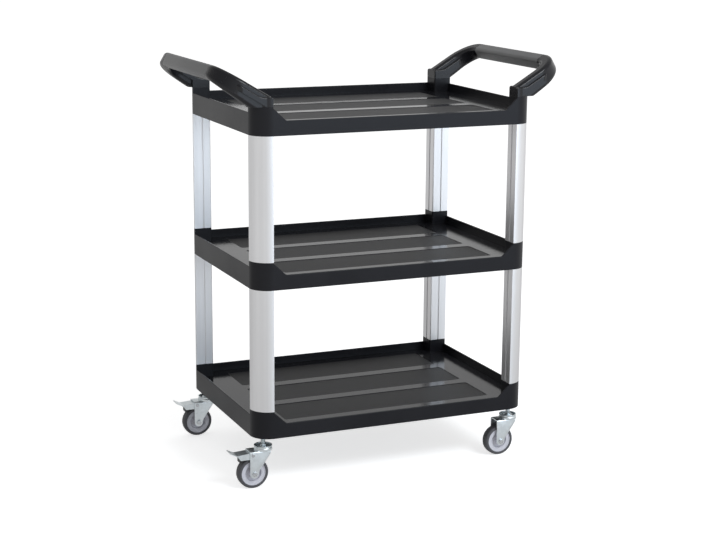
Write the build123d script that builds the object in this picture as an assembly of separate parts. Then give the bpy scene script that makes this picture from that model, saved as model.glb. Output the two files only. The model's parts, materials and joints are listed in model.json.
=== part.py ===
from build123d import *
import os
from math import cos, radians, sin, sqrt, tan

# Three-tier serving trolley. Millimetres, +Z up, origin on the floor under the middle of the trays.
# X runs along the trays from handle to handle, and -Y is the low front edge of the trays.

# Trays
TRAY_LENGTH = 650.0
TRAY_WIDTH = 455.0
TRAY_PITCH = 326.0
CORNER_RADIUS = 41.0
TRAY_WALL = 3.5
FLOOR_LEVEL = 29.0
FLOOR_THICKNESS = 3.5
FRONT_LIP_LEVEL = 32.0
RIM_LEVEL = 47.5
BLOCK_LEVEL = 60.0
BLOCK_ROOF = 4.0
BLOCK_ROUND = 0.8
INNER_CORNER = 2.5
RAMP_RUN = 28.0
RAMP_BEND = 8.0
RIM_ROUND_SHARE = 0.4
PANEL_LENGTH = 494.0
PANEL_WIDTH = 111.0
PANEL_PITCH = 139.0
PANEL_COUNT = 3
PANEL_DEPTH = 0.8
PANEL_CORNER = 10.0
RIB_THICKNESS = 2.5
RIB_DEPTH = 15.0
CROSS_RIB_COUNT = 5
CROSS_RIB_PITCH = 94.0
LONG_RIB_COUNT = 2
LONG_RIB_PITCH = 139.0

# Posts and the spigots that they slide over
POST_WIDTH = 41.0
POST_WALL = 1.8
GROOVE_WIDTH = 5.0
GROOVE_DEPTH = 2.5
SPIGOT_LENGTH = 28.0
HANDLE_SPIGOT_LENGTH = 14.0
SPIGOT_WALL = 3.0
SPIGOT_CLEARANCE = 0.3
SPIGOT_ROOT = 8.0

# Handles and their soft grips
HANDLE_RISE = 83.0
HANDLE_OVERHANG = 81.0
HANDLE_SLOPE = 31.0
BEND_RADIUS = 52.0
BAR_WIDTH = 28.0
BAR_DEPTH = 30.0
BAR_CORNER = 8.0
ARM_DEPTH = 40.0
LEG_HEIGHT = 21.0
CLIMB_INSET = 17.0
LEDGE_BEND = 30.0
FLANK_SETBACK = 2.0
FLANK_REACH = 37.0
FLANK_CORNER = 14.0
FLANK_BLEND = 12.0
FLANK_TIP = 5.0
LEDGE_ROUND = 4.0
GRIP_MARGIN = 5.0
GRIP_WALL = 3.5
GRIP_CLEARANCE = 0.1

# Screws that hold the handles down
SCREW_RADIUS = 2.4
SCREW_HEAD_RADIUS = 4.5
SCREW_HEAD_HEIGHT = 3.0
SCREW_BITE = 13.0
SCREW_CLEARANCE = 0.1
SCREW_BOSS_WALL = 3.0

# Caster sockets in the lowest tray
INSERT_RADIUS = 8.0
SOCKET_INSET_X = 26.0
SOCKET_INSET_Y = 32.0
SOCKET_WALL = 4.0
INSERT_LENGTH = 22.0
INSERT_FLANGE_RADIUS = 10.5
INSERT_FLANGE_HEIGHT = 2.0

# Casters
WHEEL_DIAMETER = 69.0
TREAD_WIDTH = 22.0
TREAD_THICKNESS = 7.0
TREAD_SHOULDER = 4.5
HUB_WIDTH = 19.0
HUB_BOSS_RADIUS = 9.5
HUB_RIM = 10.0
HUB_WEB = 6.0
TRAIL = 25.0
CROWN_GAP = 13.5
CUP_RADIUS = 20.0
CUP_HEIGHT = 9.0
SHEET = 2.5
LEG_GAP = 27.5
LEG_END_RADIUS = 10.0
LEG_HEEL = 15.5
LEG_STRAIGHT = 4.5
FORK_BEND = 3.5
STEM_RADIUS = 5.0
STEM_REACH = 20.0
STEM_ENGAGEMENT = 20.0
STEM_FLANGE_RADIUS = 11.0
STEM_FLANGE_HEIGHT = 3.5
STEM_CHAMFER = 1.0
RIVET_HEAD_RADIUS = 8.0
RIVET_HEAD_HEIGHT = 3.0
BEARING_RADIUS = 14.0
BEARING_HEIGHT = 3.0
AXLE_RADIUS = 3.0
BUSH_RADIUS = 6.0
BOLT_HEAD_FLATS = 10.0
BOLT_HEAD_HEIGHT = 4.0
NUT_HEIGHT = 3.2
BOLT_PROUD = 0.8
RUNNING_CLEARANCE = 0.05
SEAT_CLEARANCE = 0.1
FREE_CLEARANCE = 0.3

# Brakes on the two casters of the left end
PEDAL_REACH = 79.0
PEDAL_DIP = 3.0
PEDAL_TIP_RISE = 8.0
PEDAL_TIP_LENGTH = 16.0
PEDAL_FLARE = 2.0
FLARE_START = 2.0
PEDAL_CORNER = 4.0
PEDAL_BEND = 8.0
PEDAL_SHEET = 1.8
PEDAL_EAR_RADIUS = 5.0
CHEEK_REACH = 55.0
CHEEK_DEPTH = 15.0
CHEEK_CORNER = 3.0
PIVOT_AHEAD = 3.0
PIVOT_DROP = 6.0
BRAKE_PIN_RADIUS = 2.5
PIN_HEAD_RADIUS = 4.0
PIN_HEAD_HEIGHT = 1.2
BRAKE_TURN = 8.0
SHOE_ANGLE = 125.0
SHOE_WIDTH = 18.0
SHOE_LENGTH = 20.0

# Places that follow from the sizes above
HALF_LENGTH = TRAY_LENGTH / 2
HALF_WIDTH = TRAY_WIDTH / 2
CORNER_X = HALF_LENGTH - POST_WIDTH / 2
CORNER_Y = HALF_WIDTH - POST_WIDTH / 2
BLOCK_X = HALF_LENGTH - POST_WIDTH
BLOCK_Y = HALF_WIDTH - POST_WIDTH
SOCKET_X = HALF_LENGTH - SOCKET_INSET_X
SOCKET_Y = HALF_WIDTH - SOCKET_INSET_Y
RIM_ROUND = RIM_ROUND_SHARE * TRAY_WALL
FLANK_END = HALF_LENGTH + FLANK_REACH
FLANK_SIDE = HALF_WIDTH - FLANK_SETBACK
FLANK_FALL = sqrt(CORNER_RADIUS**2 - (CORNER_RADIUS - FLANK_SETBACK) ** 2)
FLANK_HEEL = HALF_LENGTH - CORNER_RADIUS + FLANK_FALL
GRIP_END = CORNER_Y - BEND_RADIUS - GRIP_MARGIN
AXLE_HEIGHT = WHEEL_DIAMETER / 2
HUB_RADIUS = AXLE_HEIGHT - TREAD_THICKNESS
CROWN_BOTTOM = WHEEL_DIAMETER + CROWN_GAP
CROWN_TOP = CROWN_BOTTOM + SHEET
CUP_TOP = CROWN_TOP + CUP_HEIGHT
BEARING_TOP = CROWN_TOP + BEARING_HEIGHT
GROUND_CLEARANCE = CUP_TOP + STEM_REACH
TRAY_HEIGHTS = [GROUND_CLEARANCE + level * TRAY_PITCH for level in range(3)]
POST_LENGTH = TRAY_PITCH - BLOCK_LEVEL
HANDLE_BASE = TRAY_HEIGHTS[-1] + BLOCK_LEVEL
FORK_WIDTH = LEG_GAP + 2 * SHEET
PEDAL_WIDTH = LEG_GAP - 2 * FREE_CLEARANCE
PEDAL_TOP = CROWN_BOTTOM - FREE_CLEARANCE
PEDAL_BEND_X = PEDAL_TIP_LENGTH - PEDAL_REACH
PIVOT_X = -TRAIL - PIVOT_AHEAD
PIVOT_Z = CROWN_BOTTOM - PIVOT_DROP
CORNERS = {
    "front_left": (-1, -1),
    "front_right": (1, -1),
    "rear_left": (-1, 1),
    "rear_right": (1, 1),
}
BRAKED = ("front_left", "rear_left")

# How far a face leans before it counts as facing up, or stops counting as upright
UPWARD = 0.3
UPRIGHT = 0.2


def spaced(count, pitch):
    """Places of a row of equal steps, centred on zero."""
    return [(i - (count - 1) / 2) * pitch for i in range(count)]


def tray_outline():
    """Outer outline of a tray."""
    return RectangleRounded(TRAY_LENGTH, TRAY_WIDTH, CORNER_RADIUS)


def sharp_corner():
    """Rear right corner of the outline, cut off square on its two inner sides."""
    return tray_outline() & Pos(CORNER_X, CORNER_Y) * Rectangle(POST_WIDTH, POST_WIDTH)


def corner_outline():
    """Outline that the blocks, posts and handle legs share: the corner with its inner edge rounded."""
    corner = sharp_corner()
    return fillet(corner.vertices().sort_by_distance((BLOCK_X, BLOCK_Y))[0], INNER_CORNER)


def post_grooves():
    """One groove in each of a post's two inner faces."""
    across_x = Pos(BLOCK_X, CORNER_Y) * Rectangle(2 * GROOVE_DEPTH, GROOVE_WIDTH)
    across_y = Pos(CORNER_X, BLOCK_Y) * Rectangle(GROOVE_WIDTH, 2 * GROOVE_DEPTH)
    return across_x + across_y


def inset(outline, amount):
    """An outline moved inwards all round, with sharp corners."""
    return offset(outline, -amount, kind=Kind.INTERSECTION)


def post_inside(wall):
    """Outline of what lies inside a post, at a given distance from its outer face."""
    return inset(sharp_corner() - post_grooves(), wall)


def post_cavity():
    """Hollow of a post, which is also the pocket in a handle's leg."""
    return post_inside(POST_WALL)


def spigot(bottom, top):
    """Moulded spigot that fills a post's end from one height to another."""
    outer = post_inside(POST_WALL + SPIGOT_CLEARANCE)
    inner = post_inside(POST_WALL + SPIGOT_CLEARANCE + SPIGOT_WALL)
    return extrude(Pos(0, 0, bottom) * (outer - inner), top - bottom)


def at_corner(shape, side_x, side_y):
    """A shape made in the rear right corner, mirrored to the corner on the given sides."""
    if side_x < 0:
        shape = mirror(shape, about=Plane.YZ)
    if side_y < 0:
        shape = mirror(shape, about=Plane.XZ)
    return shape


def at_all_corners(shape):
    """Copies of a rear right corner's shape in all four corners."""
    return [at_corner(shape, *sides) for sides in CORNERS.values()]


def rim_ring():
    """Wall of even height right round a tray, rounded along its top."""
    inside = RectangleRounded(
        TRAY_LENGTH - 2 * TRAY_WALL, TRAY_WIDTH - 2 * TRAY_WALL, CORNER_RADIUS - TRAY_WALL
    )
    ring = extrude(tray_outline() - inside, RIM_LEVEL)
    return fillet(ring.edges().group_by(Axis.Z)[-1], RIM_ROUND)


def front_wall():
    """Low front lip with a ramp up to the corner block at each end, rounded along its top."""
    ramp_top = BLOCK_LEVEL - 2 * BLOCK_ROUND
    lip_end = BLOCK_X - RAMP_RUN
    profile = Polygon(
        (-BLOCK_X, 0),
        (BLOCK_X, 0),
        (BLOCK_X, ramp_top),
        (lip_end, FRONT_LIP_LEVEL),
        (-lip_end, FRONT_LIP_LEVEL),
        (-BLOCK_X, ramp_top),
        align=None,
    )
    bends = [profile.vertices().sort_by_distance((side * lip_end, FRONT_LIP_LEVEL))[0] for side in (-1, 1)]
    wall = extrude(Plane.XZ * fillet(bends, RAMP_BEND), TRAY_WALL)
    return Pos(0, TRAY_WALL - HALF_WIDTH, 0) * fillet(rounded_edges(wall), RIM_ROUND)


def rounded_edges(shape):
    """Edges where a shape's upward faces meet its upright ones."""
    upward = [face for face in shape.faces() if face.normal_at().Z > UPWARD]
    upright = [face for face in shape.faces() if abs(face.normal_at().Z) < UPRIGHT]
    side_edges = [edge for face in upright for edge in face.edges()]
    return [edge for face in upward for edge in face.edges() if edge in side_edges]


def tray_walls():
    """Walls of a tray: three rims and the low front."""
    front = Pos(0, -HALF_WIDTH, 0) * Box(
        2 * BLOCK_X, 2 * TRAY_WALL, RIM_LEVEL, align=(Align.CENTER, Align.CENTER, Align.MIN)
    )
    return rim_ring() - front + front_wall()


def corner_block():
    """Solid corner block of a tray, rounded along its top."""
    block = extrude(corner_outline(), BLOCK_LEVEL)
    return fillet(block.edges().group_by(Axis.Z)[-1], BLOCK_ROUND)


def tray_ribs():
    """Stiffening ribs under a tray's floor."""
    cross_rib = Rectangle(RIB_THICKNESS, TRAY_WIDTH - TRAY_WALL)
    long_rib = Rectangle(TRAY_LENGTH - TRAY_WALL, RIB_THICKNESS)
    across = [Pos(x, 0) * cross_rib for x in spaced(CROSS_RIB_COUNT, CROSS_RIB_PITCH)]
    along = [Pos(0, y) * long_rib for y in spaced(LONG_RIB_COUNT, LONG_RIB_PITCH)]
    grid = Sketch() + across + along
    underside = FLOOR_LEVEL - FLOOR_THICKNESS
    return extrude(Pos(0, 0, underside - RIB_DEPTH) * grid, RIB_DEPTH)


def tray_panels():
    """Shallow matte panels sunk into a tray's floor."""
    panel = RectangleRounded(PANEL_LENGTH, PANEL_WIDTH, PANEL_CORNER)
    panels = [Pos(0, y) * panel for y in spaced(PANEL_COUNT, PANEL_PITCH)]
    return extrude(Pos(0, 0, FLOOR_LEVEL - PANEL_DEPTH) * (Sketch() + panels), PANEL_DEPTH)


def plain_tray(spigot_length):
    """A tray with hollow corner blocks and upper spigots, its skirt's lower edge at height 0."""
    floor = extrude(Pos(0, 0, FLOOR_LEVEL - FLOOR_THICKNESS) * tray_outline(), FLOOR_THICKNESS)
    tray = tray_walls() + floor + tray_ribs() - tray_panels()
    tray += at_all_corners(corner_block())
    tray -= at_all_corners(extrude(inset(sharp_corner(), TRAY_WALL), BLOCK_LEVEL - BLOCK_ROOF))
    return tray + at_all_corners(spigot(BLOCK_LEVEL, BLOCK_LEVEL + spigot_length))


def lower_spigots():
    """Spigots under a tray's corners, for the posts that carry it."""
    return at_all_corners(spigot(-SPIGOT_LENGTH, SPIGOT_ROOT))


def make_top_tray():
    """The tray with the handles on it: each corner's roof has a hole for a screw."""
    hole = Pos(CORNER_X, CORNER_Y) * Circle(SCREW_RADIUS + SCREW_CLEARANCE)
    tray = plain_tray(HANDLE_SPIGOT_LENGTH) + lower_spigots()
    return tray - at_all_corners(extrude(hole, BLOCK_LEVEL))


def make_middle_tray():
    """The tray between the lower and the upper posts."""
    return plain_tray(SPIGOT_LENGTH) + lower_spigots()


def make_bottom_tray():
    """The tray on the casters: each corner holds a socket for a threaded insert."""
    centre = Pos(SOCKET_X, SOCKET_Y)
    seat = INSERT_RADIUS + SEAT_CLEARANCE
    flange_seat = INSERT_FLANGE_RADIUS + SEAT_CLEARANCE
    socket = centre * Circle(flange_seat + SOCKET_WALL)
    hole = centre * Circle(seat)
    flange = centre * Circle(flange_seat)
    tray = plain_tray(SPIGOT_LENGTH) + at_all_corners(extrude(socket, FLOOR_LEVEL - FLOOR_THICKNESS))
    tray -= at_all_corners(extrude(hole, INSERT_LENGTH))
    return tray - at_all_corners(extrude(flange, INSERT_FLANGE_HEIGHT))


def make_inserts():
    """Four flanged threaded inserts for the caster stems."""
    centre = Pos(SOCKET_X, SOCKET_Y, GROUND_CLEARANCE)
    bore = STEM_RADIUS + SEAT_CLEARANCE
    body = extrude(centre * (Circle(INSERT_RADIUS) - Circle(bore)), INSERT_LENGTH)
    flange = extrude(centre * (Circle(INSERT_FLANGE_RADIUS) - Circle(bore)), INSERT_FLANGE_HEIGHT)
    return Compound(children=at_all_corners(body + flange))


def make_post(tier, side_x, side_y):
    """A hollow grooved post that stands on one tray's corner and carries the next tray."""
    foot = TRAY_HEIGHTS[tier] + BLOCK_LEVEL
    section = corner_outline() - post_grooves() - post_cavity()
    post = extrude(Pos(0, 0, foot) * section, POST_LENGTH)
    return at_corner(post, side_x, side_y)


def bar_centre():
    """Where the centre line of the right handle's bar runs, from its section's reach and rise."""
    tilt = radians(HANDLE_SLOPE)
    along = BAR_WIDTH / 2 - BAR_CORNER
    up = BAR_DEPTH / 2 - BAR_CORNER
    x = HALF_LENGTH + HANDLE_OVERHANG - BAR_CORNER - along * cos(tilt) - up * sin(tilt)
    z = HANDLE_BASE + HANDLE_RISE - BAR_CORNER - along * sin(tilt) - up * cos(tilt)
    return x, z


def handle_place():
    """Place of the right handle's centre line: its x climbs the arms, and its y runs along the bar."""
    x, z = bar_centre()
    return Pos(x, 0, z) * Rot(0, -HANDLE_SLOPE, 0)


def bar_section(depth, shrink=0.0):
    """Rounded section with a given depth below the bar's upper face, smaller all round by a given amount."""
    outline = RectangleRounded(BAR_WIDTH - 2 * shrink, depth - 2 * shrink, BAR_CORNER - shrink)
    return Pos(0, BAR_DEPTH / 2 - depth / 2) * outline


def along_bar(section, start, end):
    """A section extruded along the right handle's bar, between two places across the trolley."""
    face = handle_place() * (Plane.XZ * section)
    return Pos(0, end, 0) * extrude(face, end - start)


def make_arm():
    """Arm and bend of the right handle: one sweep whose depth falls from the arm's to the bar's."""
    place = handle_place()
    run = (bar_centre()[0] - HALF_LENGTH + 2 * POST_WIDTH) / cos(radians(HANDLE_SLOPE))
    foot = (-run, CORNER_Y)
    bend = (-BEND_RADIUS, CORNER_Y)
    bar_end = (0, CORNER_Y - BEND_RADIUS)
    path = place * (Line(foot, bend) + RadiusArc(bend, bar_end, BEND_RADIUS))
    sections = [
        place * Pos(*foot) * (Plane.YZ * bar_section(ARM_DEPTH)),
        place * Pos(*bend) * (Plane.YZ * bar_section(ARM_DEPTH)),
        place * Pos(*bar_end) * (Plane.XZ * bar_section(BAR_DEPTH)),
    ]
    arm = sweep(sections=sections, path=path, multisection=True)
    room = Pos(BLOCK_X, 0, HANDLE_BASE) * Box(
        TRAY_LENGTH, TRAY_WIDTH, TRAY_PITCH, align=(Align.MIN, Align.CENTER, Align.MIN)
    )
    return arm & room


def across_handle(side):
    """A side view of the handle drawn out right across the trolley."""
    return extrude(Plane.XZ * side, TRAY_WIDTH, both=True)


def leg_plan():
    """Plan of a leg: the corner's outline, and a flank that leaves it where the corner falls back."""
    start = BLOCK_X + INNER_CORNER
    flank = Pos(start, BLOCK_Y) * Rectangle(FLANK_END - start, FLANK_SIDE - BLOCK_Y, align=Align.MIN)
    flank = fillet(flank.vertices().group_by(Axis.X)[-1], FLANK_CORNER)
    plan = corner_outline() + flank
    return fillet(plan.vertices().sort_by_distance((FLANK_HEEL, FLANK_SIDE))[0], FLANK_BLEND)


def leg_side():
    """Side view of a leg: level at its inner end, then climbing with the arm to the flank's tip."""
    leg_top = HANDLE_BASE + LEG_HEIGHT
    ledge = (HALF_LENGTH - CLIMB_INSET, leg_top)
    tip = (FLANK_END, leg_top + (FLANK_END - ledge[0]) * tan(radians(HANDLE_SLOPE)))
    side = Polygon(
        (BLOCK_X, HANDLE_BASE), (BLOCK_X, leg_top), ledge, tip, (FLANK_END, HANDLE_BASE), align=None
    )
    return fillet(side.vertices().sort_by_distance(ledge)[0], LEDGE_BEND)


def space_under_flank():
    """What is cut from under a flank: it climbs with the arm from the corner block's outer edge."""
    under_tip = (FLANK_END, HANDLE_BASE + (FLANK_END - FLANK_HEEL) * tan(radians(HANDLE_SLOPE)))
    top = HANDLE_BASE + HANDLE_RISE
    beyond = FLANK_END + POST_WIDTH
    side = Polygon(
        (FLANK_HEEL, HANDLE_BASE), (beyond, HANDLE_BASE), (beyond, top), (FLANK_END, top), under_tip, align=None
    )
    side = fillet(side.vertices().sort_by_distance(under_tip)[0], FLANK_TIP)
    return across_handle(side) - extrude(Pos(0, 0, HANDLE_BASE) * corner_outline(), HANDLE_RISE)


def make_leg():
    """Leg of the right handle: it stands on the corner block, and its flank leaves a ledge beside the arm."""
    leg = across_handle(leg_side()) & extrude(Pos(0, 0, HANDLE_BASE) * leg_plan(), HANDLE_RISE)
    return fillet(rounded_edges(leg), LEDGE_ROUND) - space_under_flank()


def make_right_handle():
    """One moulded handle: two legs over the tray's spigots, two swept arms and a core for the grip."""
    above = Pos(CORNER_X, CORNER_Y, HANDLE_BASE)
    pocket_depth = HANDLE_SPIGOT_LENGTH + SPIGOT_CLEARANCE
    half = make_arm() + make_leg()
    half += along_bar(bar_section(BAR_DEPTH), GRIP_END, CORNER_Y - BEND_RADIUS)
    half -= extrude(Pos(0, 0, HANDLE_BASE) * post_cavity(), pocket_depth)
    half += extrude(above * Circle(SCREW_RADIUS + SCREW_BOSS_WALL), pocket_depth)
    half -= extrude(above * Circle(SCREW_RADIUS), SCREW_BITE)
    core = bar_section(BAR_DEPTH, GRIP_WALL + GRIP_CLEARANCE)
    return half + at_corner(half, 1, -1) + along_bar(core, -GRIP_END, GRIP_END)


def make_right_grip():
    """The soft sleeve round the bar of the right handle."""
    ring = bar_section(BAR_DEPTH) - bar_section(BAR_DEPTH, GRIP_WALL)
    return along_bar(ring, -GRIP_END, GRIP_END)


def make_handle_screws():
    """Four screws that run up through the top tray's corners into the handle legs."""
    under_roof = HANDLE_BASE - BLOCK_ROOF
    head = Pos(CORNER_X, CORNER_Y, under_roof - SCREW_HEAD_HEIGHT) * Circle(SCREW_HEAD_RADIUS)
    shank = Pos(CORNER_X, CORNER_Y, under_roof) * Circle(SCREW_RADIUS)
    screw = extrude(head, SCREW_HEAD_HEIGHT) + extrude(shank, BLOCK_ROOF + SCREW_BITE)
    return Compound(children=at_all_corners(screw))


def revolved(*points):
    """A turned piece from its half section, given as radius and height."""
    return revolve(Plane.XZ * Polygon(*points, align=None), Axis.Z)


def make_stem():
    """Caster stem: a rivet head under the fork's crown, a flange in the cup and a threaded shank."""
    head_top = CROWN_BOTTOM - FREE_CLEARANCE
    flange_bottom = BEARING_TOP + FREE_CLEARANCE
    flange_top = flange_bottom + STEM_FLANGE_HEIGHT
    tip = GROUND_CLEARANCE + STEM_ENGAGEMENT
    return revolved(
        (0, head_top - RIVET_HEAD_HEIGHT),
        (RIVET_HEAD_RADIUS, head_top - RIVET_HEAD_HEIGHT),
        (RIVET_HEAD_RADIUS, head_top),
        (STEM_RADIUS, head_top),
        (STEM_RADIUS, flange_bottom),
        (STEM_FLANGE_RADIUS, flange_bottom),
        (STEM_FLANGE_RADIUS, flange_top),
        (STEM_RADIUS, flange_top),
        (STEM_RADIUS, tip - STEM_CHAMFER),
        (STEM_RADIUS - STEM_CHAMFER, tip),
        (0, tip),
    )


def make_bearing():
    """Ball ring of the swivel, between the fork's crown and the stem's flange."""
    ring = Circle(BEARING_RADIUS) - Circle(STEM_RADIUS + RUNNING_CLEARANCE)
    return extrude(Pos(0, 0, CROWN_TOP) * ring, BEARING_HEIGHT)


def across_axle(section, start, end):
    """A section extruded along the wheel's axle, between two places across the caster."""
    face = Plane((-TRAIL, end, AXLE_HEIGHT), x_dir=(1, 0, 0), z_dir=(0, -1, 0)) * section
    return extrude(face, end - start)


def across_pivot(section, width):
    """A section extruded across the caster on the brake pedal's pivot."""
    face = Plane((PIVOT_X, 0, PIVOT_Z), x_dir=(1, 0, 0), z_dir=(0, -1, 0)) * section
    return extrude(face, width / 2, both=True)


def fork_leg_outline():
    """Side view of a fork's leg: broad at the crown, narrow and round at the axle."""
    end = Pos(-TRAIL, AXLE_HEIGHT) * Circle(LEG_END_RADIUS)
    blade = Polygon(
        (-TRAIL - LEG_END_RADIUS, AXLE_HEIGHT),
        (-TRAIL + LEG_END_RADIUS, AXLE_HEIGHT),
        (-TRAIL + LEG_END_RADIUS, AXLE_HEIGHT + LEG_STRAIGHT),
        (LEG_HEEL, CROWN_TOP),
        (-TRAIL - LEG_END_RADIUS, CROWN_TOP),
        align=None,
    )
    return Plane.XZ * (end + blade)


def make_fork(braked):
    """Stamped fork: an open cup for the swivel bearing, a crown and two legs."""
    legs = extrude(fork_leg_outline(), FORK_WIDTH / 2, both=True)
    legs = fillet(legs.edges().filter_by(Axis.X).group_by(Axis.Z)[-1], FORK_BEND)
    wheel_room = Box(
        2 * (TRAIL + WHEEL_DIAMETER), LEG_GAP, CROWN_BOTTOM, align=(Align.CENTER, Align.CENTER, Align.MIN)
    )
    cup = extrude(Pos(0, 0, CROWN_BOTTOM) * Circle(CUP_RADIUS), CUP_TOP - CROWN_BOTTOM)
    cup -= extrude(Pos(0, 0, CROWN_TOP) * Circle(CUP_RADIUS - SHEET), CUP_HEIGHT)
    fork = legs - wheel_room + cup
    fork -= extrude(Pos(0, 0, CROWN_BOTTOM) * Circle(STEM_RADIUS + RUNNING_CLEARANCE), SHEET)
    if braked:
        fork -= across_pivot(Circle(BRAKE_PIN_RADIUS + RUNNING_CLEARANCE), FORK_WIDTH)
    return fork - across_axle(Circle(AXLE_RADIUS + SEAT_CLEARANCE), -FORK_WIDTH / 2, FORK_WIDTH / 2)


def make_axle_bolt():
    """Hexagonal bolt that the wheel turns on."""
    half = FORK_WIDTH / 2
    hexagon = RegularPolygon(BOLT_HEAD_FLATS / 2, 6, major_radius=False)
    head = across_axle(hexagon, -half - BOLT_HEAD_HEIGHT, -half)
    return head + across_axle(Circle(AXLE_RADIUS), -half, half + NUT_HEIGHT + BOLT_PROUD)


def make_axle_nut():
    """Nut on the far end of the axle bolt."""
    half = FORK_WIDTH / 2
    hexagon = RegularPolygon(BOLT_HEAD_FLATS / 2, 6, major_radius=False)
    return across_axle(hexagon - Circle(AXLE_RADIUS + RUNNING_CLEARANCE), half, half + NUT_HEIGHT)


def make_axle_bush():
    """Steel bush clamped between the fork's legs, which is the wheel's bearing."""
    ring = Circle(BUSH_RADIUS) - Circle(AXLE_RADIUS + RUNNING_CLEARANCE)
    return across_axle(ring, -LEG_GAP / 2, LEG_GAP / 2)


def turned_wheel_piece(*points):
    """A piece of the wheel from its half section, given as radius and place along the axle."""
    piece = revolved(*points)
    return Pos(-TRAIL, 0, AXLE_HEIGHT) * Rot(90, 0, 0) * piece


def make_wheel_hub():
    """Moulded wheel centre with a boss, a thin web and a rim."""
    bore = BUSH_RADIUS + RUNNING_CLEARANCE
    boss = LEG_GAP / 2 - FREE_CLEARANCE
    web_edge = HUB_RADIUS - HUB_RIM
    half = HUB_WIDTH / 2
    web = HUB_WEB / 2
    return turned_wheel_piece(
        (bore, -boss),
        (HUB_BOSS_RADIUS, -boss),
        (HUB_BOSS_RADIUS, -web),
        (web_edge, -web),
        (web_edge, -half),
        (HUB_RADIUS, -half),
        (HUB_RADIUS, half),
        (web_edge, half),
        (web_edge, web),
        (HUB_BOSS_RADIUS, web),
        (HUB_BOSS_RADIUS, boss),
        (bore, boss),
    )


def make_tyre():
    """Soft grey tyre with rounded shoulders."""
    inner = HUB_RADIUS + RUNNING_CLEARANCE
    outer = WHEEL_DIAMETER / 2
    section = Pos((inner + outer) / 2, 0) * Rectangle(outer - inner, TREAD_WIDTH)
    section = fillet(section.vertices().group_by(Axis.X)[-1], TREAD_SHOULDER)
    tyre = revolve(Plane.XZ * section, Axis.Z)
    return Pos(-TRAIL, 0, AXLE_HEIGHT) * Rot(90, 0, 0) * tyre


def turned_up(x, z):
    """Where a point of the pressed brake lies at rest: turned up about the pedal's pivot."""
    turn = radians(BRAKE_TURN)
    along = x - PIVOT_X
    up = z - PIVOT_Z
    return PIVOT_X + along * cos(turn) + up * sin(turn), PIVOT_Z + up * cos(turn) - along * sin(turn)


def make_brake_pin():
    """Headed pin through the fork's legs, which the pedal turns on."""
    length = FORK_WIDTH + 2 * PIN_HEAD_HEIGHT
    heads = across_pivot(Circle(PIN_HEAD_RADIUS), length) - across_pivot(Circle(PIN_HEAD_RADIUS), FORK_WIDTH)
    return heads + across_pivot(Circle(BRAKE_PIN_RADIUS), length)


def under_plate(x):
    """Height of the foot plate's underside between the pivot and the bend."""
    return PEDAL_TOP - PEDAL_SHEET - PEDAL_DIP * (PIVOT_X - x) / (PIVOT_X - PEDAL_BEND_X)


def pedal_plate():
    """Foot plate of the pedal: it falls gently from the fork's crown, flares and turns up to its tip."""
    bend_top = PEDAL_TOP - PEDAL_DIP
    tip_top = bend_top + PEDAL_TIP_RISE
    side = Polygon(
        (PIVOT_X, PEDAL_TOP),
        (PEDAL_BEND_X, bend_top),
        (-PEDAL_REACH, tip_top),
        (-PEDAL_REACH, tip_top - PEDAL_SHEET),
        (PEDAL_BEND_X, bend_top - PEDAL_SHEET),
        (PIVOT_X, PEDAL_TOP - PEDAL_SHEET),
        align=None,
    )
    side = fillet(side.vertices().group_by(Axis.X)[1], PEDAL_BEND)
    flare = -TRAIL - LEG_END_RADIUS - FLARE_START
    root_half = PEDAL_WIDTH / 2
    tip_half = root_half + PEDAL_FLARE
    plan = Polygon(
        (PIVOT_X, -root_half),
        (PIVOT_X, root_half),
        (flare, root_half),
        (-PEDAL_REACH, tip_half),
        (-PEDAL_REACH, -tip_half),
        (flare, -root_half),
        align=None,
    )
    plan = fillet(plan.vertices().group_by(Axis.X)[0], PEDAL_CORNER)
    return extrude(Plane.XZ * side, tip_half, both=True) & extrude(plan, GROUND_CLEARANCE)


def make_pedal():
    """Stamped brake pedal: a foot plate and two deep cheeks that hang on the pin beside the tread."""
    ear = Pos(PIVOT_X, PIVOT_Z) * Circle(PEDAL_EAR_RADIUS)
    cheek_corner = (-CHEEK_REACH, PEDAL_TOP - CHEEK_DEPTH)
    web = Polygon(
        (PIVOT_X, under_plate(PIVOT_X)),
        (PEDAL_BEND_X, under_plate(PEDAL_BEND_X)),
        cheek_corner,
        (PIVOT_X, PEDAL_TOP - CHEEK_DEPTH),
        align=None,
    )
    web = fillet(web.vertices().sort_by_distance(cheek_corner)[0], CHEEK_CORNER)
    cheek = Plane.XZ * (ear + web)
    cheeks = extrude(cheek, PEDAL_WIDTH / 2, both=True)
    cheeks -= extrude(cheek, PEDAL_WIDTH / 2 - PEDAL_SHEET, both=True)
    bore = across_pivot(Circle(BRAKE_PIN_RADIUS + RUNNING_CLEARANCE), PEDAL_WIDTH)
    return pedal_plate() + cheeks - bore


def make_brake_shoe():
    """Black shoe under the pedal, flat against the tread when the pedal is down."""
    angle = radians(SHOE_ANGLE)
    reach = WHEEL_DIAMETER / 2 + FREE_CLEARANCE
    face = []
    for end in (-SHOE_LENGTH / 2, SHOE_LENGTH / 2):
        x = -TRAIL + reach * cos(angle) - end * sin(angle)
        z = AXLE_HEIGHT + reach * sin(angle) + end * cos(angle)
        face.append(turned_up(x, z))
    top = [(x, under_plate(x)) for x, z in reversed(face)]
    side = Polygon(*face, *top, align=None)
    return extrude(Plane.XZ * side, SHOE_WIDTH / 2, both=True)


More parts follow.
